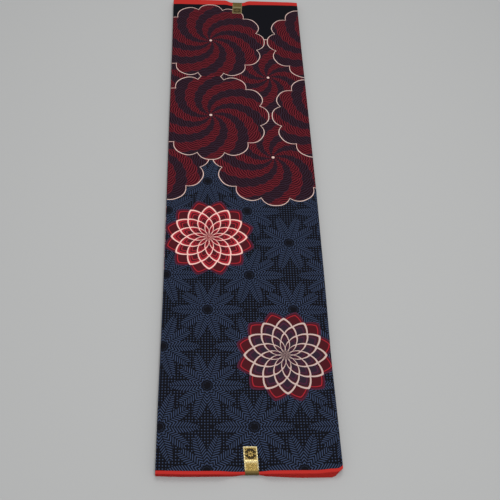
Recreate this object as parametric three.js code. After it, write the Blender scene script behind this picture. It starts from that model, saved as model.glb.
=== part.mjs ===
// Six yards of printed cotton, folded back and forth into a long flat pack, with a
// foil label wrapped round the selvedges at the middle of each end.
// Millimetres, +Z up. The pack lies on Z = 0 with its length along Y, its near end at -Y
// and its folds along the two long sides.

import * as THREE from 'three';

// Driving sizes of the pack
const CLOTH_WIDTH = 1170; // from selvedge to selvedge, which is the length of the pack
const FOLD_WIDTH = 303; // from fold to fold
const PACK_HEIGHT = 13;
const LAYERS = 8; // an even number, so both cut ends of the cloth lie on the left
const SHEET = 1; // thickness of one layer

// How the labels pinch the ends
const LABEL_X = 2; // the middle of the label
const LABEL_WIDTH = 24;
const LABEL_THICKNESS = 0.8;
const TOP_LEG = 45;
const UNDER_LEG = 22;
const CLEARANCE = 0.3; // between the label and the cloth
const PINCHED_GAP = 0.3; // between two layers under the label
const PINCHED_LIFT = 1.4; // of the underside, which leaves room for the label's lower leg
const DRAWN_IN = 2; // of the selvedges under the label
const PINCH_FLAT_DEPTH = 24; // from the end, before the pinch begins to fade
const PINCH_DEPTH = 64;
const PINCH_HALF_WIDTH = 46;

// The near right corner is pushed back, the upper layers more than the lower ones
const CORNER_START_X = 108;
const CORNER_END_X = 152;
const CORNER_BACK_BOTTOM = 4;
const CORNER_BACK_TOP = 12;
const END_FADE = 110; // how far into the pack the uneven ends reach

// How far each fold stands out of the side, from the lower cut end to the upper one
const FOLD_STANDS = [
  { edge: 'lower cut end', out: -1.6 },
  { edge: 'right fold 1', out: -0.6 },
  { edge: 'left fold 1', out: 0.4 },
  { edge: 'right fold 2', out: 0.7 },
  { edge: 'left fold 2', out: -0.9 },
  { edge: 'right fold 3', out: -1.1 },
  { edge: 'left fold 3', out: 0.8 },
  { edge: 'right fold 4', out: 0.5 },
  { edge: 'upper cut end', out: -0.4 },
];

// How far each layer's selvedges are drawn back from the longest one, from the bottom up
const SELVEDGE_BACK = [
  { nearLeft: 1.6, nearRight: 0.4, farLeft: 0.6, farRight: 2.2 },
  { nearLeft: 0.5, nearRight: 1.2, farLeft: 1.8, farRight: 0.8 },
  { nearLeft: 1.9, nearRight: 0.2, farLeft: 0.3, farRight: 1.5 },
  { nearLeft: 0.3, nearRight: 1.6, farLeft: 1.4, farRight: 0.4 },
  { nearLeft: 1.2, nearRight: 0.6, farLeft: 0.2, farRight: 1.9 },
  { nearLeft: 0.2, nearRight: 1.8, farLeft: 2.1, farRight: 0.7 },
  { nearLeft: 1.0, nearRight: 0.8, farLeft: 0.5, farRight: 1.6 },
  { nearLeft: 0.4, nearRight: 1.0, farLeft: 1.0, farRight: 0.3 },
];

// How the two long sides wander from straight lines, along the pack
const SIDE_DRIFT = [
  { y: -585, left: -0.4, right: 1.2 },
  { y: -470, left: -0.2, right: 0.3 },
  { y: -380, left: 0.3, right: -0.8 },
  { y: -240, left: 0.9, right: 0.9 },
  { y: -30, left: 0.9, right: 1.6 },
  { y: 200, left: 0.1, right: 0.4 },
  { y: 410, left: 0.7, right: -1.6 },
  { y: 585, left: 0.2, right: -2.2 },
];

// Places across a layer between its two edges, and distances from each end, where the
// surface has its points
const ACROSS = [-44, -28, -11, 15, 32, 48, 108, 130];
const DEPTHS = [0, 12, 24, 34, 45, 64, 110, 330, 585];
const FOLD_STEPS = 4;

const HALF_LENGTH = CLOTH_WIDTH / 2;
const PITCH = (PACK_HEIGHT - SHEET) / (LAYERS - 1);
const PINCHED_PITCH = SHEET + PINCHED_GAP;
const FOLD_RADIUS = PITCH / 2;
const FOLD_CENTRE_X = FOLD_WIDTH / 2 - FOLD_RADIUS - SHEET / 2;

const { clamp, lerp, smoothstep } = THREE.MathUtils;

// The value of a named column at a place along a table that is sorted by another column
function along(rows, key, column, place) {
  const after = rows.findIndex((row) => row[key] > place);
  if (after === 0) return rows[0][column];
  if (after < 0) return rows[rows.length - 1][column];
  const from = rows[after - 1];
  const to = rows[after];
  const share = (place - from[key]) / (to[key] - from[key]);
  return lerp(from[column], to[column], share);
}

// The value of a column of the selvedge table at a height in the stack, counted in layers
function ofLayer(column, height) {
  const lower = Math.min(Math.floor(height), LAYERS - 2);
  return lerp(SELVEDGE_BACK[lower][column], SELVEDGE_BACK[lower + 1][column], height - lower);
}

// How strongly the label pinches the cloth, from 0 to 1
function pinchAcross(x) {
  return 1 - smoothstep(Math.abs(x - LABEL_X), LABEL_WIDTH / 2 + 1, PINCH_HALF_WIDTH);
}

function pinch(x, depth) {
  return pinchAcross(x) * (1 - smoothstep(depth, PINCH_FLAT_DEPTH, PINCH_DEPTH));
}

// Height of a layer's middle surface
function layerZ(height, x, depth) {
  const free = SHEET / 2 + PITCH * height;
  const pinched = PINCHED_LIFT + SHEET / 2 + PINCHED_PITCH * height;
  return lerp(free, pinched, pinch(x, depth));
}

// How far the end of the cloth is drawn back at a place across the pack
function drawnBack(end, height, x) {
  const share = clamp(x / FOLD_WIDTH + 0.5, 0, 1);
  const uneven = lerp(ofLayer(`${end}Left`, height), ofLayer(`${end}Right`, height), share);
  const back = lerp(uneven, DRAWN_IN, pinchAcross(x));
  if (end === 'far') return back;
  const corner = smoothstep(x, CORNER_START_X, CORNER_END_X);
  return back + corner * lerp(CORNER_BACK_BOTTOM, CORNER_BACK_TOP, height / (LAYERS - 1));
}

// A point of the cloth: the station says which end is nearer and how far in it lies
function place(station, height, x) {
  const { side, depth } = station;
  const end = side < 0 ? 'near' : 'far';
  const fade = 1 - smoothstep(depth, 0, END_FADE);
  const y = side * (HALF_LENGTH - depth - fade * drawnBack(end, height, x));
  const drift = along(SIDE_DRIFT, 'y', x < 0 ? 'left' : 'right', y);
  return { x: x + drift * Math.abs(x) / FOLD_CENTRE_X, y };
}

// The section from the lower cut end to the upper one, as rungs. Each rung has a height in
// the stack, a place across, and the way that its left-hand face looks.
function sectionRungs() {
  const rungs = [];
  for (let layer = 0; layer < LAYERS; layer += 1) {
    const way = layer % 2 === 0 ? 1 : -1;
    const startX = -way * (FOLD_CENTRE_X + FOLD_STANDS[layer].out);
    const stopX = way * (FOLD_CENTRE_X + FOLD_STANDS[layer + 1].out);
    const inside = way > 0 ? ACROSS : [...ACROSS].reverse();
    for (const x of [startX, ...inside, stopX]) {
      rungs.push({ height: layer, x, sideX: 0, sideZ: way });
    }
    if (layer === LAYERS - 1) break;
    for (let step = 1; step < FOLD_STEPS; step += 1) {
      const angle = (Math.PI * step) / FOLD_STEPS;
      rungs.push({
        height: layer + (1 - Math.cos(angle)) / 2,
        x: stopX + way * FOLD_RADIUS * Math.sin(angle),
        sideX: -Math.sin(angle),
        sideZ: way * Math.cos(angle),
      });
    }
  }
  return rungs;
}

function stations() {
  const near = DEPTHS.map((depth) => ({ side: -1, depth }));
  const far = DEPTHS.slice(0, -1).reverse().map((depth) => ({ side: 1, depth }));
  return [...near, ...far];
}

// The cloth: the section's two faces, carried from the near selvedge to the far one
function clothGeometry() {
  const rungs = sectionRungs();
  const rows = stations();
  const positions = [];
  for (const station of rows) {
    for (const rung of rungs) {
      const { x, y } = place(station, rung.height, rung.x);
      const z = layerZ(rung.height, rung.x, station.depth);
      for (const face of [1, -1]) {
        const off = (face * SHEET) / 2;
        positions.push(x + off * rung.sideX, y, z + off * rung.sideZ);
      }
    }
  }

  const last = rungs.length - 1;
  const point = (row, rung, face) => (row * rungs.length + rung) * 2 + face;
  const triangles = [];
  const quad = (a, b, c, d) => triangles.push(a, b, c, a, c, d);
  for (let row = 0; row < rows.length - 1; row += 1) {
    const next = row + 1;
    for (let rung = 0; rung < last; rung += 1) {
      const on = rung + 1;
      quad(point(row, rung, 0), point(row, on, 0), point(next, on, 0), point(next, rung, 0));
      quad(point(row, rung, 1), point(next, rung, 1), point(next, on, 1), point(row, on, 1));
    }
    quad(point(row, 0, 0), point(next, 0, 0), point(next, 0, 1), point(row, 0, 1));
    quad(point(row, last, 0), point(row, last, 1), point(next, last, 1), point(next, last, 0));
  }
  const end = rows.length - 1;
  for (let rung = 0; rung < last; rung += 1) {
    const on = rung + 1;
    quad(point(0, rung, 0), point(0, rung, 1), point(0, on, 1), point(0, on, 0));
    quad(point(end, rung, 0), point(end, on, 0), point(end, on, 1), point(end, rung, 1));
  }

  const geometry = new THREE.BufferGeometry();
  geometry.setAttribute('position', new THREE.Float32BufferAttribute(positions, 3));
  geometry.setIndex(triangles);
  geometry.computeVertexNormals();
  return geometry;
}

// One face of the pack under the label, as points of Y and Z from a leg's tip to the end
function faceUnderLabel(side, height, leg, offset) {
  const depths = DEPTHS.filter((depth) => depth < leg);
  depths.push(leg);
  return depths.reverse().map((depth) => {
    const { y } = place({ side, depth }, height, LABEL_X);
    return { y, z: layerZ(height, LABEL_X, depth) + offset };
  });
}

// The label: a strip of foil bent round the end, with one leg on top and one beneath
function labelGeometry(side) {
  const inner = SHEET / 2 + CLEARANCE;
  const outer = inner + LABEL_THICKNESS;
  const outline = (away) => {
    const top = faceUnderLabel(side, LAYERS - 1, TOP_LEG, away);
    const under = faceUnderLabel(side, 0, UNDER_LEG, -away).reverse();
    const front = side * (away - SHEET / 2);
    const bend = away - SHEET / 2 + CLEARANCE;
    const topEnd = top[top.length - 1];
    const underEnd = under[0];
    const corners = [
      { y: topEnd.y + front, z: topEnd.z - bend },
      { y: underEnd.y + front, z: underEnd.z + bend },
    ];
    return [...top, ...corners, ...under];
  };
  const points = [...outline(outer), ...outline(inner).reverse()];
  const shape = new THREE.Shape(points.map(({ y, z }) => new THREE.Vector2(y, z)));
  const geometry = new THREE.ExtrudeGeometry(shape, { depth: LABEL_WIDTH, bevelEnabled: false });
  const sideways = new THREE.Matrix4().makeBasis(
    new THREE.Vector3(0, 1, 0),
    new THREE.Vector3(0, 0, 1),
    new THREE.Vector3(1, 0, 0),
  );
  geometry.applyMatrix4(sideways);
  geometry.translate(LABEL_X - LABEL_WIDTH / 2, 0, 0);
  return geometry;
}

const printedCotton = new THREE.MeshStandardMaterial({
  color: 0x2b2730,
  roughness: 0.85,
  metalness: 0,
});
const goldFoil = new THREE.MeshStandardMaterial({
  color: 0xb39a5a,
  roughness: 0.35,
  metalness: 0.9,
});

function piece(name, geometry, material) {
  const mesh = new THREE.Mesh(geometry, material.clone());
  mesh.name = name;
  return mesh;
}

const pack = new THREE.Group();
pack.add(piece('cloth', clothGeometry(), printedCotton));
pack.add(piece('label_near', labelGeometry(-1), goldFoil));
pack.add(piece('label_far', labelGeometry(1), goldFoil));

// The origin is the middle of the pack's underside
const middle = new THREE.Box3().setFromObject(pack).getCenter(new THREE.Vector3());
pack.position.set(-middle.x, -middle.y, 0);

export default pack;
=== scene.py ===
import math

import bpy
import numpy as np
from mathutils import Matrix, Vector


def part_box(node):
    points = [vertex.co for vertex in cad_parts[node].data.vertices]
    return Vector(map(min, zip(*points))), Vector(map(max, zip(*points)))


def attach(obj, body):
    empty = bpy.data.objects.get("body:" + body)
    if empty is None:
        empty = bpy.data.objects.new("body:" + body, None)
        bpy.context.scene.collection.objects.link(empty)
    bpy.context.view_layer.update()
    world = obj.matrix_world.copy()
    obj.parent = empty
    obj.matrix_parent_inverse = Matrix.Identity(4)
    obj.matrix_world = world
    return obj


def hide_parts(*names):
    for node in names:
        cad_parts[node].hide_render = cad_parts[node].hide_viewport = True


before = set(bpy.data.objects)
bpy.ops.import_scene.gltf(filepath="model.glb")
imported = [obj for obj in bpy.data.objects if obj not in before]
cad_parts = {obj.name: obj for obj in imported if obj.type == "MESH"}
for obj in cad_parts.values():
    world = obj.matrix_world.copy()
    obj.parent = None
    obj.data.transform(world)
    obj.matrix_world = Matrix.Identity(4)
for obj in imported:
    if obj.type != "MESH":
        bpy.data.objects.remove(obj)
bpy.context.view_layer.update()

# The cloth: six yards of plain-woven cotton, its full width from selvedge to selvedge
# lying along Y. It is folded back and forth into panels with both cut ends on the left,
# and each end is squeezed and bent to a round nose by the label at its middle.
MM = 0.001
PANELS = 18
THICK = 0.3 * MM
FLAT_WIDTH = 1170 * MM
HALF_LENGTH = FLAT_WIDTH / 2
SIDE_X = 152 * MM  # the mean reach of the folds to each side
LABEL_OFFSET = 2 * MM  # the labels sit this far right of the folds' middle

cloth_low, cloth_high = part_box("cloth")
label_low, label_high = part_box("label_near")
LABEL_X = (label_low.x + label_high.x) / 2
CENTRE_X = LABEL_X - LABEL_OFFSET
CENTRE_Y = (cloth_low.y + cloth_high.y) / 2
PITCH = (cloth_high.z - cloth_low.z - THICK) / (PANELS - 1)
FOLD_RADIUS = PITCH / 2
FOLD_STEPS = 6

# The stack under a label: its squeezed height, how far it lifts, and its round nose
SQUEEZED_HEIGHT = 7.2 * MM
SQUEEZED_LIFT = 1.4 * MM
SQUEEZED_PITCH = (SQUEEZED_HEIGHT - THICK) / (PANELS - 1)
NOSE_Z = SQUEEZED_LIFT + SQUEEZED_HEIGHT / 2
NOSE_Y = HALF_LENGTH - 4.3 * MM
NOSE_DEPTH = 4.8 * MM
NOSE_ANGLE = math.radians(76)
# From the label's middle, in millimetres: where the squeeze starts to fade and where it
# ends, to the left and to the right, for the lowest and the highest panel of each end
SQUEEZE_REACH = {-1: ((12, 29, 13.6, 26), (25, 54, 13.6, 34)),
                 1: ((12, 28, 13.6, 30), (12, 28, 13.6, 30))}
SQUEEZE_FLAT_DEPTH = 6 * MM
SQUEEZE_DEPTH = 64 * MM
END_FADE = 110 * MM

# How the two long sides wander from straight lines along the pack, in millimetres
SIDE_DRIFT_Y = (-585, -470, -380, -240, -30, 200, 410, 585)
LEFT_DRIFT = (-0.1, 0.1, 0.8, 1.9, 2.0, 1.5, 2.2, 1.4)
RIGHT_DRIFT = (1.4, 0.1, -1.2, 0.3, 0.9, -0.2, -2.2, -2.6)

# Places across a panel from its middle, and distances from each end, in millimetres
ACROSS = (-148, -144, -137, -126, -108, -90, -72, -58, -49, -41, -34, -27, -21, -15, -10,
          3, 16, 21, 27, 34, 42, 52, 64, 78, 94, 108, 118, 127, 134, 140, 145, 149)
DEPTHS = (0, 0.8, 1.6, 2.4, 3.2, 4, 4.8, 6, 8, 11, 15, 21, 28, 36, 45, 54, 64, 78, 94, 112,
          134, 160, 190, 222, 256, 292, 330, 370, 410, 454, 498, 541, 585)

uneven = np.random.default_rng(11)
fold_stands = uneven.uniform(-1.1, 0.3, PANELS + 1) * MM
fold_stands[-1] = -0.2 * MM
near_stagger = uneven.uniform(-0.6, 0.3, (PANELS, 2)) * MM  # at the left and at the right
far_stagger = uneven.uniform(0, 1.6, (PANELS, 2)) * MM
near_stagger[-1] = 0
far_stagger[-1] = 0.3 * MM
ripple_turns = uneven.uniform(0, 2 * math.pi, PANELS)


def smooth(value, start, stop):
    share = np.clip((value - start) / (stop - start), 0, 1)
    return share * share * (3 - 2 * share)


def between_panels(values, panel):
    """A value given for each panel, with panel counted in parts at a fold."""
    return np.interp(panel, np.arange(PANELS), values)


def near_back(panel, x):
    """How far the near selvedge stands back: its right corner is rounded off, more so the
    lower panels, its left corner a little, and the lower panels slip out at the right."""
    share = panel / (PANELS - 1)
    upper = 2.6 * smooth(x, 0.105, 0.140) + 7.5 * np.clip((x - 0.141) / 0.012, 0, 1) ** 2
    lower = 22 * np.clip((x - 0.131) / 0.020, 0, 1) ** 2.8 - 3.2 * smooth(x, 0.018, 0.085)
    left = 1.7 * np.clip((-x - 0.095) / 0.055, 0, 1) ** 1.5
    return (lower + (upper - lower) * share + left) * MM


def free_place(panel, x, side, depth):
    """Where a point of the cloth lies away from the labels: its y and z."""
    stagger, back = (near_stagger, near_back(panel, x)) if side < 0 else (far_stagger, 0)
    across = np.clip((x + SIDE_X) / (2 * SIDE_X), 0, 1)
    left, right = (between_panels(stagger[:, end], panel) for end in (0, 1))
    back = back + left + (right - left) * across
    settled = smooth(depth, 0, END_FADE)
    y = side * (HALF_LENGTH - depth - (1 - settled) * back)
    share = panel / (PANELS - 1)
    crown = 0.35 * np.sin(13 * x + 5.1 * y + 0.6) + 0.25 * np.sin(21 * x - 8.3 * y + 2)
    crown += 0.2 * np.sin(17 * y + 1.1) - 0.5
    crown *= settled * (1 - smooth(np.abs(x), 0.12, 0.15))
    droop = 0.9 * smooth(np.abs(x), 0.136, 0.153) + 0.6 * (1 - smooth(depth, 0, 14 * MM))
    ripple = 0.1 * np.sin(40 * y + 15 * x + between_panels(ripple_turns, panel)) * settled
    inner = np.minimum(share, 1 - share) * 2
    z = THICK / 2 + PITCH * panel + ((crown - droop) * share + ripple * inner) * MM
    return y, z


def squeezed_place(panel, side, depth):
    """Where a point of the cloth lies under a label: flat, then bent round the nose."""
    z = SQUEEZED_LIFT + THICK / 2 + SQUEEZED_PITCH * panel
    radius = z - NOSE_Z
    angle = NOSE_ANGLE * max(0, 1 - depth / NOSE_DEPTH)
    y = side * (NOSE_Y - max(0, depth - NOSE_DEPTH) + np.abs(radius) * math.sin(angle))
    return y, NOSE_Z + radius * math.cos(angle)


def cloth_place(panel, x, side, depth):
    """A point of the cloth's middle surface, from its panel, its place across and its
    distance from the near (-1) or far (1) selvedge."""
    aside = x + CENTRE_X - LABEL_X
    lowest, highest = np.array(SQUEEZE_REACH[side]) * MM
    reach = (lowest + np.multiply.outer(panel / (PANELS - 1), highest - lowest)).T
    held = (1 - smooth(-aside, reach[0], reach[1])) * (1 - smooth(aside, reach[2], reach[3]))
    held = held * (1 - smooth(depth, SQUEEZE_FLAT_DEPTH, SQUEEZE_DEPTH))
    free_y, free_z = free_place(panel, x, side, depth)
    held_y, held_z = squeezed_place(panel, side, depth)
    y = free_y + (held_y - free_y) * held
    z = free_z + (held_z - free_z) * held
    left, right = (np.interp(y / MM, SIDE_DRIFT_Y, drift) for drift in (LEFT_DRIFT, RIGHT_DRIFT))
    drift = np.where(x < 0, left, right) * MM * np.abs(x) / SIDE_X
    return np.stack([CENTRE_X + x + drift, CENTRE_Y + y, z], -1)


def section_rungs():
    """The section from the lower cut end to the upper one: each rung's panel and its place
    across."""
    rungs = []
    flat_x = SIDE_X - FOLD_RADIUS - THICK / 2
    for panel in range(PANELS):
        way = 1 if panel % 2 == 0 else -1
        stop = way * (flat_x + fold_stands[panel + 1])
        rungs.append((panel, -way * (flat_x + fold_stands[panel])))
        rungs.extend((panel, x * MM) for x in ACROSS[::way])
        rungs.append((panel, stop))
        for step in range(1, FOLD_STEPS) if panel < PANELS - 1 else ():
            angle = math.pi * step / FOLD_STEPS
            rise = (1 - math.cos(angle)) / 2
            rungs.append((panel + rise, stop + way * FOLD_RADIUS * math.sin(angle)))
    return np.array(rungs).T


def sheet_object(name, middle, thick_out, thick_in):
    """A closed sheet on a grid of points, with its two faces off the middle surface."""
    along = np.gradient(middle, axis=1)
    beside = np.gradient(middle, axis=0)
    normal = np.cross(along, beside)
    normal /= np.linalg.norm(normal, axis=-1, keepdims=True)
    points = np.stack([middle + thick_out * normal, middle - thick_in * normal], 2)
    rows, count = middle.shape[:2]
    number = np.arange(rows * count * 2).reshape(rows, count, 2)
    out, back = number[..., 0], number[..., 1]
    parts = [
        np.stack([out[:-1, :-1], out[:-1, 1:], out[1:, 1:], out[1:, :-1]], -1),
        np.stack([back[:-1, :-1], back[1:, :-1], back[1:, 1:], back[:-1, 1:]], -1),
        np.stack([out[:-1, 0], out[1:, 0], back[1:, 0], back[:-1, 0]], -1),
        np.stack([out[:-1, -1], back[:-1, -1], back[1:, -1], out[1:, -1]], -1),
        np.stack([out[0, :-1], back[0, :-1], back[0, 1:], out[0, 1:]], -1),
        np.stack([out[-1, :-1], out[-1, 1:], back[-1, 1:], back[-1, :-1]], -1),
    ]
    parts = [part.reshape(-1, 4) for part in parts]
    mesh = bpy.data.meshes.new(name)
    mesh.from_pydata(points.reshape(-1, 3).tolist(), [], np.concatenate(parts).tolist())
    mesh.polygons.foreach_set("use_smooth", np.ones(len(mesh.polygons), bool))
    mesh.set_sharp_from_angle(angle=math.radians(40))
    made = bpy.data.objects.new(name, mesh)
    bpy.context.scene.collection.objects.link(made)
    return made, parts


def add_uv(piece, name, u, v):
    layer = piece.data.uv_layers.new(name=name)
    layer.data.foreach_set("uv", np.stack([u, v], -1).astype(np.float32).ravel())


rung_panel, rung_x = section_rungs()
stations = [(-1, depth * MM) for depth in DEPTHS]
stations += [(1, depth * MM) for depth in DEPTHS[-2::-1]]
cloth_middle = np.array([cloth_place(rung_panel, rung_x, *station) for station in stations])
cloth, cloth_parts = sheet_object("cloth_sheet", cloth_middle, THICK / 2, THICK / 2)

# Places on the flat cloth, in metres: across from the middle of the top panel, and
# along from the middle of the cloth's width
rung_steps = np.hypot(np.diff(rung_x), np.diff(rung_panel) * PITCH)
rung_along = np.concatenate([[0], np.cumsum(rung_steps)])
corners = np.concatenate(cloth_parts).ravel()
corner_rung = corners // 2 % len(rung_x)
corner_row = corners // 2 // len(rung_x)
on_top_panel = rung_panel == PANELS - 1
top_middle = np.interp(0, rung_x[on_top_panel][::-1], rung_along[on_top_panel][::-1])
side, depth = np.array(stations)[corner_row].T
flat_y = side * (HALF_LENGTH - depth)
add_uv(cloth, "cloth", (top_middle - rung_along)[corner_rung], flat_y)

# A second map for painting the finish into an image: the top of the top panel gets most
# of it, as two halves side by side, the underside gets a strip beside them, and what is
# folded away and the cloth's edges get narrow bands above.
part = np.repeat(np.arange(len(cloth_parts)), [len(p) * 4 for p in cloth_parts])
first_rung = np.repeat(corner_rung.reshape(-1, 4).min(1), 4)
last_rung = np.repeat(corner_rung.reshape(-1, 4).max(1), 4)
first_row = np.repeat(corner_row.reshape(-1, 4).min(1), 4)
on_top = (part == 1) & (rung_panel[first_rung] == PANELS - 1)
beneath = (part == 1) & (rung_panel[last_rung] == 0)
cut_end = (part == 2) | (part == 3)
selvedge = part >= 4
far_half = first_row >= len(DEPTHS) - 1
across = ((rung_x + SIDE_X) / (2 * SIDE_X))[corner_rung]
length = 0.5 + flat_y / FLAT_WIDTH
along_share = (rung_along / rung_along[-1])[corner_rung]
face_side = corners % 2
band_u = 0.004 + 0.992 * np.where(cut_end, length, along_share)
places = [on_top, beneath, cut_end, selvedge]
paint_u = np.select(places, [0.004 + 0.45 * far_half + 0.442 * across,
                             0.908 + 0.086 * across, band_u, band_u], band_u)
paint_v = np.select(places, [0.004 + 0.84 * (2 * length - far_half), 0.004 + 0.84 * length,
                             0.981 + 0.004 * (part - 2) + 0.002 * face_side,
                             0.989 + 0.004 * (part - 4) + 0.002 * face_side],
                    0.86 + 0.06 * part + 0.052 * length)
add_uv(cloth, "OFBake", paint_u, paint_v)


def linear(hex_colour):
    """An sRGB hex colour as linear RGBA."""
    parts = [int(hex_colour[i:i + 2], 16) / 255 for i in (0, 2, 4)]
    return (*[c / 12.92 if c <= 0.04045 else ((c + 0.055) / 1.055) ** 2.4 for c in parts], 1.0)


def node(tree, kind, *sources, stops=(), **settings):
    """Adds a node such as "Math:ADD", sets it up, and fills or links its inputs in order.
    A colour ramp's stops are where its plain bands start, with their colours."""
    kind, _, operation = kind.partition(":")
    prefix = "" if kind.startswith(("Geometry", "Function", "Node")) else "ShaderNode"
    made = tree.nodes.new(prefix + kind)
    if operation:
        made.operation = operation
    for name, value in settings.items():
        setattr(made, name, value)
    if stops:
        made.color_ramp.interpolation = "CONSTANT"
        for _ in stops[2:]:
            made.color_ramp.elements.new(1.0)
        for element, (start, hex_colour) in zip(made.color_ramp.elements, stops):
            element.position = start
            element.color = linear(hex_colour)
    for socket, source in zip([s for s in made.inputs if s.enabled], sources):
        if isinstance(source, bpy.types.Node):
            source = next(out for out in source.outputs if out.enabled)
        if isinstance(source, bpy.types.NodeSocket):
            tree.links.new(source, socket)
        elif source is not None:
            socket.default_value = source
    return made


# The print is drawn by formula in flat-cloth metres: overlapping red flowers over the far
# half, veined blue leaves over the near half, and two layered rosettes of pointed petals.
BLACK_INK = "121217"
NAVY_INK = "38445E"
SLATE_INK = "30232F"
DARK_MAROON_INK = "1F080D"
RED_INK = "692029"
MAROON_INK = "4A181E"
ROSETTE_RED_INK = "A02530"
PURPLE_INK = "4C2236"
CREAM = "DDBDB3"
PINK_CREAM = "F2BEB4"
DULL_CREAM = "C8AFA6"
SELVEDGE_RED = "B72E29"
LEAVES = 10  # round each centre
LEAF_VEIN_GAP = 4.6  # mm


def lattice_place(tree, across, along, first, spacing, rows):
    """Place relative to the nearest motif of a column that repeats across the cloth and
    has a number of rows along it."""
    local_x = node(tree, "Math:SUBTRACT", across, first[0])
    local_x = node(tree, "Math:WRAP", local_x, spacing[0] / 2, -spacing[0] / 2)
    row = node(tree, "Math:DIVIDE", node(tree, "Math:SUBTRACT", along, first[1]), spacing[1])
    row = node(tree, "Math:MAXIMUM", node(tree, "Math:ROUND", row), 0.0)
    row = node(tree, "Math:MINIMUM", row, rows - 1.0)
    row_y = node(tree, "Math:MULTIPLY_ADD", row, spacing[1], first[1])
    return local_x, node(tree, "Math:SUBTRACT", along, row_y)


def polar_place(tree, local, ring_pitch, petals):
    """Distance from a motif's centre in rings, and turn round it in petals."""
    across, along = local
    square = node(tree, "Math:MULTIPLY", across, across)
    radius = node(tree, "Math:SQRT", node(tree, "Math:MULTIPLY_ADD", along, along, square))
    radius = node(tree, "Math:DIVIDE", radius, ring_pitch)
    turn = node(tree, "Math:ARCTAN2", along, across)
    return radius, node(tree, "Math:MULTIPLY", turn, petals / (2 * math.pi))


def petal_tip(tree, turn, ring, roundness):
    """How far a petal reaches past its ring: 1 at its middle, 0 between two petals. Each
    ring is turned by half a petal from the one inside it."""
    aside = node(tree, "Math:MULTIPLY_ADD", ring, 0.5, turn)
    aside = node(tree, "Math:MULTIPLY", node(tree, "Math:PINGPONG", aside, 0.5), 2.0)
    return node(tree, "Math:SUBTRACT", 1.0, node(tree, "Math:POWER", aside, roundness))


def petal_rings(tree, radius, turn, roundness):
    """Overlapping rings of petals: a place's ring, its petal's reach there, and how far it
    lies inside the petal's outer edge, counted in rings."""
    inner = node(tree, "Math:FLOOR", radius)
    past_inner = node(tree, "Math:GREATER_THAN", node(tree, "Math:SUBTRACT", radius, inner),
                     petal_tip(tree, turn, inner, roundness))
    ring = node(tree, "Math:ADD", inner, past_inner)
    tip = petal_tip(tree, turn, ring, roundness)
    return ring, tip, node(tree, "Math:SUBTRACT", node(tree, "Math:ADD", ring, tip), radius)


def red_flowers(tree, across, along):
    """Round flowers in two half-drop columns, the first over the second. Their petals lie
    in rings, filled by turns with red and with blue lines, inside a cream edge of lobes."""
    ring_pitch, petals, rings, lobes, roundness = 15.5 * MM, 16, 7.2, 12, 2.2
    flowers = []
    for first in ((-0.062, 0.204), (0.068, 0.086)):
        place = lattice_place(tree, across, along, first, (0.26, 0.236), 2)
        radius, turn = polar_place(tree, place, ring_pitch, petals)
        lobe = petal_tip(tree, node(tree, "Math:MULTIPLY", turn, lobes / petals), 0.0, 2.6)
        flowers.append((radius, turn, node(tree, "Math:ADD", lobe, rings)))
    over, under = flowers
    on_over = node(tree, "Math:LESS_THAN", over[0], over[2])
    radius, turn, edge = (node(tree, "Mix", on_over, low, top) for low, top in zip(under, over))
    ring, tip, inside = petal_rings(tree, radius, turn, roundness)
    narrowed = node(tree, "Math:MULTIPLY_ADD", tip, 0.75, 0.3)
    line = node(tree, "Math:MULTIPLY", node(tree, "Math:DIVIDE", inside, narrowed), 3.1)
    line = node(tree, "Math:LESS_THAN", node(tree, "Math:FRACT", line), 0.5)
    petal = node(tree, "Math:ROUND", node(tree, "Math:MULTIPLY_ADD", ring, 0.5, turn))
    is_blue = node(tree, "Math:PINGPONG", petal, 1.0)
    ink = node(tree, "Mix", is_blue, linear(RED_INK), linear(SLATE_INK), data_type="RGBA")
    flower = node(tree, "Mix", line, linear(DARK_MAROON_INK), ink, data_type="RGBA")
    rim = node(tree, "Math:SUBTRACT", edge, radius)
    cream = node(tree, "Math:MAXIMUM", node(tree, "Math:LESS_THAN", rim, 0.11),
                 node(tree, "Math:LESS_THAN", radius, 0.2))
    flower = node(tree, "Mix", cream, flower, linear(CREAM), data_type="RGBA")
    return flower, node(tree, "Math:GREATER_THAN", rim, 0.0)


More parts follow.
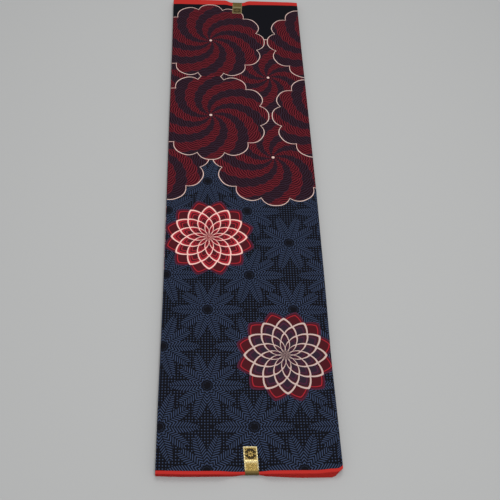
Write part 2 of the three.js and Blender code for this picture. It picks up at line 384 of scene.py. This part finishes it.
def blue_leaves(tree, across, along):
    """Pointed leaves with slanting veins round centres in two half-drop columns, with
    rows of dots between them."""
    one = lattice_place(tree, across, along, (0.01, -0.505), (0.158, 0.15), 8)
    other = lattice_place(tree, across, along, (0.089, -0.58), (0.158, 0.15), 8)
    one_radius, one_turn = polar_place(tree, one, MM, LEAVES)
    other_radius, other_turn = polar_place(tree, other, MM, LEAVES)
    nearer = node(tree, "Math:LESS_THAN", one_radius, other_radius)
    radius = node(tree, "Mix", nearer, other_radius, one_radius)
    turn = node(tree, "Mix", nearer, other_turn, one_turn)
    angle = node(tree, "Math:MULTIPLY", node(tree, "Math:PINGPONG", turn, 0.5),
                 2 * math.pi / LEAVES)
    aside = node(tree, "Math:MULTIPLY", node(tree, "Math:SINE", angle), radius)
    leaf_share = node(tree, "MapRange", radius, 6.0, 68.0, 0.0, math.pi)
    half_width = node(tree, "Math:POWER", node(tree, "Math:SINE", leaf_share), 0.7)
    half_width = node(tree, "Math:MULTIPLY", half_width, 9.8)
    slant = node(tree, "Math:MULTIPLY_ADD", aside, -0.85, radius)
    vein = node(tree, "Math:FRACT", node(tree, "Math:DIVIDE", slant, LEAF_VEIN_GAP))
    on_vein = node(tree, "Math:MULTIPLY", node(tree, "Math:LESS_THAN", vein, 0.4),
                   node(tree, "Math:LESS_THAN", aside, half_width))
    on_vein = node(tree, "Math:MULTIPLY", on_vein, node(tree, "Math:GREATER_THAN", aside, 0.6))
    dot_x = node(tree, "Math:WRAP", across, 2.6 * MM, -2.6 * MM)
    dot_y = node(tree, "Math:WRAP", along, 2.6 * MM, -2.6 * MM)
    dot = node(tree, "Math:MULTIPLY_ADD", dot_y, dot_y,
               node(tree, "Math:MULTIPLY", dot_x, dot_x))
    on_dot = node(tree, "Math:LESS_THAN", dot, (1.1 * MM) ** 2)
    clear = node(tree, "Math:GREATER_THAN", aside, node(tree, "Math:ADD", half_width, 1.4))
    on_dot = node(tree, "Math:MULTIPLY", on_dot, clear)
    navy = node(tree, "Math:MAXIMUM", on_vein, on_dot)
    navy = node(tree, "Math:MULTIPLY", navy, node(tree, "Math:LESS_THAN", along, 0.2))
    return node(tree, "Mix", navy, linear(BLACK_INK), linear(NAVY_INK), data_type="RGBA")


def layered_rosettes(tree, across, along):
    """Two rosettes of pointed petals edged with cream, a bright one and a dark one, each
    with an outer fringe of red and purple petals."""
    spacing = (0.52, 1.0)
    bright = polar_place(tree, lattice_place(tree, across, along, (-0.066, -0.118),
                                             spacing, 1), 15 * MM, 12)
    dark = polar_place(tree, lattice_place(tree, across, along, (0.07, -0.372),
                                           spacing, 1), 15 * MM, 12)
    is_bright = node(tree, "Math:GREATER_THAN", along, -0.245)
    radius = node(tree, "Mix", is_bright, dark[0], bright[0])
    turn = node(tree, "Mix", is_bright, dark[1], bright[1])
    ring, _, inside = petal_rings(tree, radius, turn, 1.25)
    inside = node(tree, "Math:MULTIPLY", inside, 0.5)
    bright_lines = node(tree, "ValToRGB", inside, stops=(
        (0.0, PINK_CREAM), (0.12, ROSETTE_RED_INK), (0.3, MAROON_INK), (0.42, ROSETTE_RED_INK),
        (0.5, MAROON_INK)))
    dark_lines = node(tree, "ValToRGB", inside, stops=(
        (0.0, DULL_CREAM), (0.13, MAROON_INK), (0.24, SLATE_INK), (0.33, PURPLE_INK),
        (0.42, SLATE_INK)))
    lines = node(tree, "Mix", is_bright, dark_lines, bright_lines, data_type="RGBA")
    fringe = node(tree, "ValToRGB", inside, stops=(
        (0.0, PURPLE_INK), (0.1, MAROON_INK), (0.2, ROSETTE_RED_INK), (0.27, MAROON_INK)))
    on_fringe = node(tree, "Math:GREATER_THAN", ring, 4.5)
    rosette = node(tree, "Mix", on_fringe, lines, fringe, data_type="RGBA")
    return rosette, node(tree, "Math:LESS_THAN", ring, 5.5)


def selvedge_margins(tree, across, along):
    """The plain red margins: about 5 mm wide at the near selvedge and 12 to 19 mm wide,
    with a slow wave, at the far one."""
    wave = node(tree, "Math:SINE", node(tree, "Math:MULTIPLY", across, 2 * math.pi / 0.6))
    far_start = node(tree, "Math:MULTIPLY_ADD", wave, 0.003, 0.5695)
    return node(tree, "Math:MAXIMUM", node(tree, "Math:LESS_THAN", along, -0.5797),
               node(tree, "Math:GREATER_THAN", along, far_start))


# Wax-printed cotton: a close plain weave printed alike on both faces and calendered, so
# it is matt with the faintest sheen, and its dark inks are deep. The yarns are 0.35 mm
# apart and slubby, and the weave is drawn at twice that to show close to.
YARN_GAP = 0.7 * MM


def wax_printed_cotton():
    material = bpy.data.materials.new("wax_printed_cotton")
    material.use_nodes = True
    tree = material.node_tree
    tree.nodes.clear()
    place = node(tree, "UVMap", uv_map="cloth")

    # Lines wander by half a millimetre, as blocks and rollers print them
    wobble = node(tree, "TexNoise", place, None, 90.0, 1.0, noise_dimensions="2D")
    wobble = node(tree, "VectorMath:SUBTRACT", wobble.outputs["Color"], (0.5, 0.5, 0.5))
    drawn = node(tree, "VectorMath:MULTIPLY_ADD", wobble, (2.2 * MM, 2.2 * MM, 0), place)
    drawn = node(tree, "SeparateXYZ", drawn)
    across, along = drawn.outputs["X"], drawn.outputs["Y"]
    flower, on_flower = red_flowers(tree, across, along)
    rosette, on_rosette = layered_rosettes(tree, across, along)
    colour = blue_leaves(tree, across, along)
    colour = node(tree, "Mix", on_flower, colour, flower, data_type="RGBA")
    colour = node(tree, "Mix", on_rosette, colour, rosette, data_type="RGBA")
    colour = node(tree, "Mix", selvedge_margins(tree, across, along), colour,
                 linear(SELVEDGE_RED), data_type="RGBA")

    # Uneven dye, and slubs that run along the warp and the weft: worked out here, but the scale
    # below leaves its factor unlinked, so they do not reach the colour
    blotches = node(tree, "TexNoise", place, None, 28.0, 4.0, noise_dimensions="2D")
    shade = node(tree, "MapRange", blotches, 0.3, 0.7, 0.9, 1.1)
    for stretch in ((900.0, 14.0, 1.0), (14.0, 900.0, 1.0)):
        slub = node(tree, "TexNoise", node(tree, "VectorMath:MULTIPLY", place, stretch), None,
                   1.0, 2.0, noise_dimensions="2D")
        slub = node(tree, "MapRange", slub, 0.3, 0.7, 0.9, 1.1)
        shade = node(tree, "Math:MULTIPLY", shade, slub)
    shaded = node(tree, "VectorMath:SCALE", colour.outputs["Result"], None, None, shade)

    # Over one, under one
    flat = node(tree, "SeparateXYZ", place)
    warp = node(tree, "Math:SINE", node(tree, "Math:MULTIPLY", flat, math.pi / YARN_GAP))
    weft = node(tree, "Math:MULTIPLY", flat.outputs["Y"], math.pi / YARN_GAP)
    weave = node(tree, "Math:MULTIPLY", warp, node(tree, "Math:SINE", weft))
    bump = node(tree, "Bump", 0.3, 0.05 * MM, None, weave)

    cotton = node(tree, "BsdfPrincipled")
    tree.links.new(shaded.outputs[0], cotton.inputs["Base Color"])
    tree.links.new(bump.outputs[0], cotton.inputs["Normal"])
    cotton.inputs["Roughness"].default_value = 0.85
    cotton.inputs["Specular IOR Level"].default_value = 0.04
    cotton.inputs["Sheen Weight"].default_value = 0.02
    cotton.inputs["Sheen Roughness"].default_value = 0.3
    node(tree, "OutputMaterial", cotton)
    return material


cloth.data.materials.append(wax_printed_cotton())
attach(cloth, "root")
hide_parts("cloth")

# Loose yarn ends: the length was cut across off its bolt, so its warp yarns end at both
# cut edges, and about one in four stands out. They are part of the cloth and have its dyes.
YARN_SIZES = {"Spacing": 1.4 * MM, "Length": 1.5 * MM, "Thickness": 0.22 * MM,
              "Turn": 0.6, "Smallest": 0.35, "Largest": 1.0}


def repeat_along(name, lines, make_shape, sizes, material):
    """Repeats a shape along lines of points with Geometry Nodes, as one plain mesh. The
    named sizes give the spacing, the greatest turn to either side and the range of scale;
    the shape takes the others."""
    tree = bpy.data.node_groups.new(name, "GeometryNodeTree")
    tree.interface.new_socket("Geometry", in_out="OUTPUT", socket_type="NodeSocketGeometry")
    tree.interface.new_socket("Lines", in_out="INPUT", socket_type="NodeSocketGeometry")
    for size in sizes:
        tree.interface.new_socket(size, in_out="INPUT", socket_type="NodeSocketFloat")
    given = node(tree, "NodeGroupInput").outputs
    spots = node(tree, "GeometryNodeMeshToCurve", given["Lines"])
    spots = node(tree, "GeometryNodeCurveToPoints", spots, given["Spacing"], mode="LENGTH")
    back = node(tree, "Math:MULTIPLY", given["Turn"], -1.0)
    turn = node(tree, "FunctionNodeRandomValue", back, given["Turn"], None, 3)
    scale = node(tree, "FunctionNodeRandomValue", given["Smallest"], given["Largest"], None, 5)
    shapes = node(tree, "GeometryNodeInstanceOnPoints", spots, None, make_shape(tree, given),
                  None, None, node(tree, "CombineXYZ", None, None, turn), scale)
    shapes = node(tree, "GeometryNodeRealizeInstances", shapes)
    shapes = node(tree, "GeometryNodeSetMaterial", shapes, None, material)
    node(tree, "NodeGroupOutput", shapes)

    ends = np.cumsum([0] + [len(line) for line in lines])
    steps = [(i, i + 1) for start, stop in zip(ends, ends[1:]) for i in range(start, stop - 1)]
    guide = bpy.data.meshes.new(name + "_lines")
    guide.from_pydata(np.concatenate(lines).tolist(), steps, [])
    made = bpy.data.objects.new(name, guide)
    bpy.context.scene.collection.objects.link(made)
    repeat = made.modifiers.new(name, "NODES")
    repeat.node_group = tree
    for item in tree.interface.items_tree:
        if item.name in sizes:
            repeat[item.identifier] = sizes[item.name]
    shaped = made.evaluated_get(bpy.context.evaluated_depsgraph_get())
    mesh = bpy.data.meshes.new_from_object(shaped)
    mesh.name = name
    made.modifiers.remove(repeat)
    made.data = mesh
    bpy.data.meshes.remove(guide)
    return made


def yarn_end(tree, given):
    """A short, slightly bent yarn with three sides, rooted in the cloth and pointing left."""
    reach = node(tree, "Math:MULTIPLY", given["Length"], -1.0)
    bend = node(tree, "Math:MULTIPLY", given["Length"], 0.3)
    tip = node(tree, "CombineXYZ", reach, bend)
    yarn = node(tree, "GeometryNodeCurveQuadraticBezier", 3, (0.4 * MM, 0, 0), (0, 0, 0), tip)
    radius = node(tree, "Math:MULTIPLY", given["Thickness"], 0.5)
    section = node(tree, "GeometryNodeCurvePrimitiveCircle", 3, radius)
    return node(tree, "GeometryNodeCurveToMesh", yarn, section, None, True)


def dyed_cotton_yarn():
    """Spun cotton yarn dyed through with the print's dark inks, paler where it is worn."""
    material = bpy.data.materials.new("dyed_cotton_yarn")
    material.use_nodes = True
    tree = material.node_tree
    tree.nodes.clear()
    place = node(tree, "TexCoord").outputs["Object"]
    tone = node(tree, "TexNoise", place, None, 260.0, 2.0)
    tone = node(tree, "MapRange", tone, 0.4, 0.65, 0.0, 1.0)
    colour = node(tree, "Mix", tone, linear(BLACK_INK), linear("4A4A5C"), data_type="RGBA")
    yarn = node(tree, "BsdfPrincipled", colour.outputs["Result"], None, 0.9)
    yarn.inputs["Specular IOR Level"].default_value = 0.1
    node(tree, "OutputMaterial", yarn)
    return material


cut_edges = [cloth_middle[:, 0], cloth_middle[:, -1]]
yarn_ends = repeat_along("cut_edge_yarns", cut_edges, yarn_end, YARN_SIZES, dyed_cotton_yarn())
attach(yarn_ends, "root")

# The labels: strips of embossed gold foil paper, bent round the noses of the stack with a
# long leg on top and a short one beneath. A field near the upper tip is part printed.
FOIL_THICK = 0.12 * MM
FOIL_CLEAR = 0.06 * MM
FOIL_STEP = 0.4 * MM
FOIL_WIDTH = 22.6 * MM
FOIL_X = LABEL_X + 2.1 * MM
TOP_LEG = 46.2 * MM
UNDER_LEG = 22 * MM
LEAN = 2.5 * MM  # the tip of the top leg stands this far left
BEAD_SIZES = {"Spacing": 1.2 * MM, "Radius": 0.34 * MM, "Turn": 0.0,
              "Smallest": 1.0, "Largest": 1.0}
BEAD_INSET = 2  # grid steps from the label's edge to its row of beads

# On the flat label, in millimetres: the middle of the printed field below the upper tip,
# half its width and height, the crease below it, and where the bend starts
FIELD_DOWN = 12
FIELD_ACROSS = 9.2
FIELD_HEIGHT = 8.8
CREASE_DOWN = 24.5
BEND_START = 38
# How dark the painted shade round the bend is, where the foil faces away from the light
BEND_SHADE = 0.62


def label_path(side):
    """The label's inner line from the tip of its top leg to the tip of the lower one, as
    y and z, and the length along it."""
    x = LABEL_X - CENTRE_X
    off = THICK / 2 + FOIL_CLEAR
    top = [cloth_place(PANELS - 1, x, side, depth) + (0, 0, off)
           for depth in np.linspace(TOP_LEG, NOSE_DEPTH, 60)]
    under = [cloth_place(0, x, side, depth) - (0, 0, off)
             for depth in np.linspace(NOSE_DEPTH, UNDER_LEG, 30)]
    radius = SQUEEZED_HEIGHT / 2 + FOIL_CLEAR
    nose = [(0, CENTRE_Y + side * (NOSE_Y + radius * math.sin(angle)),
             NOSE_Z + radius * math.cos(angle)) for angle in np.linspace(0, math.pi, 25)[1:-1]]
    path = np.array(top + nose + under)[:, 1:]
    return path, np.concatenate([[0], np.cumsum(np.hypot(*np.diff(path, axis=0).T))])


def embossing(across, down):
    """Relief in millimetres and the shares of dark print (with painted shade) and of pale rim, at
    places across the label and down from its tip, in millimetres: in a field, a round flower
    between four corner fans and two side leaves, and below it a line and a slightly crumpled part.
    The foil has painted highlights, pale on its rims, its tip and its crease, and painted shade,
    darker round the bend."""
    low = down - FIELD_DOWN
    in_field = smooth(FIELD_ACROSS - np.abs(across), 0, 0.5)
    in_field *= smooth(FIELD_HEIGHT - np.abs(low), 0, 0.5)
    radius, turn = np.hypot(across, low), np.arctan2(low, across)
    petals = np.maximum(radius - 4.2 - 1.1 * np.cos(8 * turn), 1.6 - radius)
    fan_radius = np.hypot(np.abs(across) - FIELD_ACROSS, np.abs(low) - FIELD_HEIGHT)
    fans = np.minimum(np.abs(fan_radius - 3.7) - 0.6, fan_radius - 1.7)
    leaves = np.abs(low) * 0.8 + np.abs(np.abs(across) - 7.4) * 1.2 - 1.8
    gold = np.minimum(np.minimum(petals, fans), leaves)
    line = np.exp(-((down - 22.4) / 0.45) ** 2) * smooth(10.6 - np.abs(across), 0, 0.4)
    crumple = np.sin(0.9 * across + 1.1 * np.sin(0.5 * down)) * np.sin(0.75 * down + 0.6)
    crumple += 0.6 * np.sin(1.7 * across - 1.3 * down + 1.0)
    relief = 0.12 * line + 0.1 * in_field * (1 - smooth(gold, -0.4, 0.4))
    relief += 0.07 * crumple * (1 - in_field)
    print_share = in_field * smooth(gold, -0.2, 0.3)
    # Painted shade: round the bend the foil is turned part way to the dark print
    bend_shade = BEND_SHADE * smooth(down, BEND_START, BEND_START + 4)
    # Painted highlights: a pale colour along the long edges, at the tip and at the crease, left off
    # round the bend
    rim = smooth(np.abs(across), FIELD_ACROSS + 0.2, FIELD_ACROSS + 0.9)
    rim = np.maximum(rim, 1 - smooth(down, 1.4, 2.2))
    rim = np.maximum(rim, 0.9 * np.exp(-((down - CREASE_DOWN) / 2.2) ** 2)) * (bend_shade == 0)
    # The dark share is the print and also the painted shade round the bend
    return relief, np.maximum(print_share, bend_shade), rim


def make_label(name, side):
    """One label, and the lines that its rows of beads follow."""
    path, length = label_path(side)
    down = np.linspace(0, length[-1], int(length[-1] / FOIL_STEP) + 1)
    across = np.linspace(-FOIL_WIDTH / 2, FOIL_WIDTH / 2, int(FOIL_WIDTH / FOIL_STEP) + 1)
    across, down = np.meshgrid(-side * across, down)
    lean = LEAN * np.clip(1 - down / TOP_LEG, 0, 1)
    inner = np.stack([FOIL_X + across - lean, np.interp(down, length, path[:, 0]),
                      np.interp(down, length, path[:, 1])], -1)
    relief, ink, rim = embossing(across / MM, down / MM)
    made, _ = sheet_object(name, inner, 0, (FOIL_THICK + relief * MM)[..., None])
    # The ink share also carries the painted shade round the bend, and the rim share is a painted
    # highlight
    for share_name, share in (("ink", ink), ("rim", rim)):
        layer = made.data.attributes.new(share_name, "FLOAT", "POINT")
        layer.data.foreach_set("value", np.repeat(share.ravel(), 2).astype(np.float32))
    points = np.empty(inner.size * 2, np.float32)
    made.data.vertices.foreach_get("co", points)
    face = points.reshape(*inner.shape[:2], 2, 3)[1:-1, :, 1]
    return made, [face[:, BEAD_INSET], face[:, -1 - BEAD_INSET]]


def bead(tree, given):
    return node(tree, "GeometryNodeMeshUVSphere", 8, 5, given["Radius"])


# Foil paper: aluminium on paper under a gold lacquer, bright, with a fine grain from the
# embossing roll. The print on it is a matt dark brown, which is also used as painted shade round
# the bend, and a pale gold is a painted highlight on its rims and crease.
def gold_foil_paper():
    material = bpy.data.materials.new("gold_foil_paper")
    material.use_nodes = True
    tree = material.node_tree
    tree.nodes.clear()
    place = node(tree, "TexCoord").outputs["Object"]
    # The print's share, which also holds the painted shade round the bend
    ink = node(tree, "Attribute", attribute_name="ink").outputs["Fac"]
    tarnish = node(tree, "TexNoise", place, None, 220.0, 3.0)
    tarnish = node(tree, "MapRange", tarnish, 0.35, 0.65, 0.0, 1.0)
    gold = node(tree, "Mix", tarnish, linear("6C5A2E"), linear("967F4A"), data_type="RGBA")
    # Painted highlight: a pale gold on the rims, the tip and the crease
    rim = node(tree, "Attribute", attribute_name="rim").outputs["Fac"]
    gold = node(tree, "Mix", rim, gold, linear("B4A67C"), data_type="RGBA")
    grain = node(tree, "TexVoronoi", place, None, 900.0)
    bump = node(tree, "Bump", 0.35, 0.1 * MM, None, grain)
    foil = node(tree, "BsdfPrincipled")
    colour = node(tree, "Mix", ink, gold, linear("33270F"), data_type="RGBA")
    tree.links.new(colour.outputs["Result"], foil.inputs["Base Color"])
    metal = node(tree, "Math:MULTIPLY_ADD", ink, -0.9, 1.0)
    tree.links.new(metal.outputs[0], foil.inputs["Metallic"])
    rough = node(tree, "Math:MULTIPLY_ADD", ink, 0.3, 0.26)
    tree.links.new(rough.outputs[0], foil.inputs["Roughness"])
    tree.links.new(bump.outputs[0], foil.inputs["Normal"])
    foil.inputs["Specular IOR Level"].default_value = 0.12
    node(tree, "OutputMaterial", foil)
    return material


foil = gold_foil_paper()
bead_lines = []
for end, side in (("near", -1), ("far", 1)):
    label, label_bead_lines = make_label("foil_label_" + end, side)
    bead_lines += label_bead_lines
    label.data.materials.append(foil)
    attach(label, "root")
    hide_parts("label_" + end)
label_beads = repeat_along("label_beads", bead_lines, bead, BEAD_SIZES, foil)
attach(label_beads, "root")

# The floor: a plain pale surface, wide enough to fill the view.
FLOOR_HALF = 4.0
floor_mesh = bpy.data.meshes.new("floor")
floor_mesh.from_pydata([(-FLOOR_HALF, -FLOOR_HALF, -0.1 * MM), (FLOOR_HALF, -FLOOR_HALF, -0.1 * MM),
                        (FLOOR_HALF, FLOOR_HALF, -0.1 * MM), (-FLOOR_HALF, FLOOR_HALF, -0.1 * MM)],
                       [], [(0, 1, 2, 3)])
floor = bpy.data.objects.new("floor", floor_mesh)
bpy.context.scene.collection.objects.link(floor)
floor_paint = bpy.data.materials.new("pale_floor")
floor_paint.use_nodes = True
floor_surface = floor_paint.node_tree.nodes["Principled BSDF"]
floor_surface.inputs["Base Color"].default_value = linear("B5B5B4")
floor_surface.inputs["Roughness"].default_value = 0.95
floor_surface.inputs["Specular IOR Level"].default_value = 0.1
floor_mesh.materials.append(floor_paint)

# Light: an even pale room, and two broad lamps above the two halves of the pack.
world = bpy.data.worlds.new("pale_room")
world.use_nodes = True
world.node_tree.nodes["Background"].inputs["Color"].default_value = linear("F2F4F6")
world.node_tree.nodes["Background"].inputs["Strength"].default_value = 0.6
bpy.context.scene.world = world
for name, lamp_y, power in (("near_lamp", -0.85, 12.5), ("far_lamp", 0.65, 11.5)):
    lamp_data = bpy.data.lights.new(name, "AREA")
    lamp_data.shape = "SQUARE"
    lamp_data.size = 0.9
    lamp_data.energy = power
    lamp = bpy.data.objects.new(name, lamp_data)
    lamp.location = (0.12, lamp_y, 1.9)
    aim = Vector((0, lamp_y / 4, 0)) - lamp.location
    lamp.rotation_euler = aim.to_track_quat("-Z", "Y").to_euler()
    bpy.context.scene.collection.objects.link(lamp)
bpy.context.scene.view_settings.view_transform = "Standard"

# The camera looks down the pack from its near end, as it was held for the picture.
EYE = Vector((-0.0897, -1.0185, 1.2860)) + Vector((CENTRE_X, CENTRE_Y, 0))
YAW, PITCH_DOWN, ROLL = (math.radians(angle) for angle in (6.732, 55.463, 6.138))
FOCAL_PIXELS, FRAME_PIXELS = 806.2, 500
forward = Vector((math.sin(YAW) * math.cos(PITCH_DOWN), math.cos(YAW) * math.cos(PITCH_DOWN),
                  -math.sin(PITCH_DOWN)))
level = Vector((math.cos(YAW), -math.sin(YAW), 0))
upright = level.cross(forward)
right = math.cos(ROLL) * level + math.sin(ROLL) * upright
up = -math.sin(ROLL) * level + math.cos(ROLL) * upright
camera_data = bpy.data.cameras.new("camera")
camera_data.sensor_width = 36
camera_data.lens = FOCAL_PIXELS / FRAME_PIXELS * camera_data.sensor_width
camera = bpy.data.objects.new("camera", camera_data)
camera.matrix_world = Matrix.Translation(EYE) @ Matrix((right, up, -forward)).transposed().to_4x4()
bpy.context.scene.collection.objects.link(camera)
bpy.context.scene.camera = camera
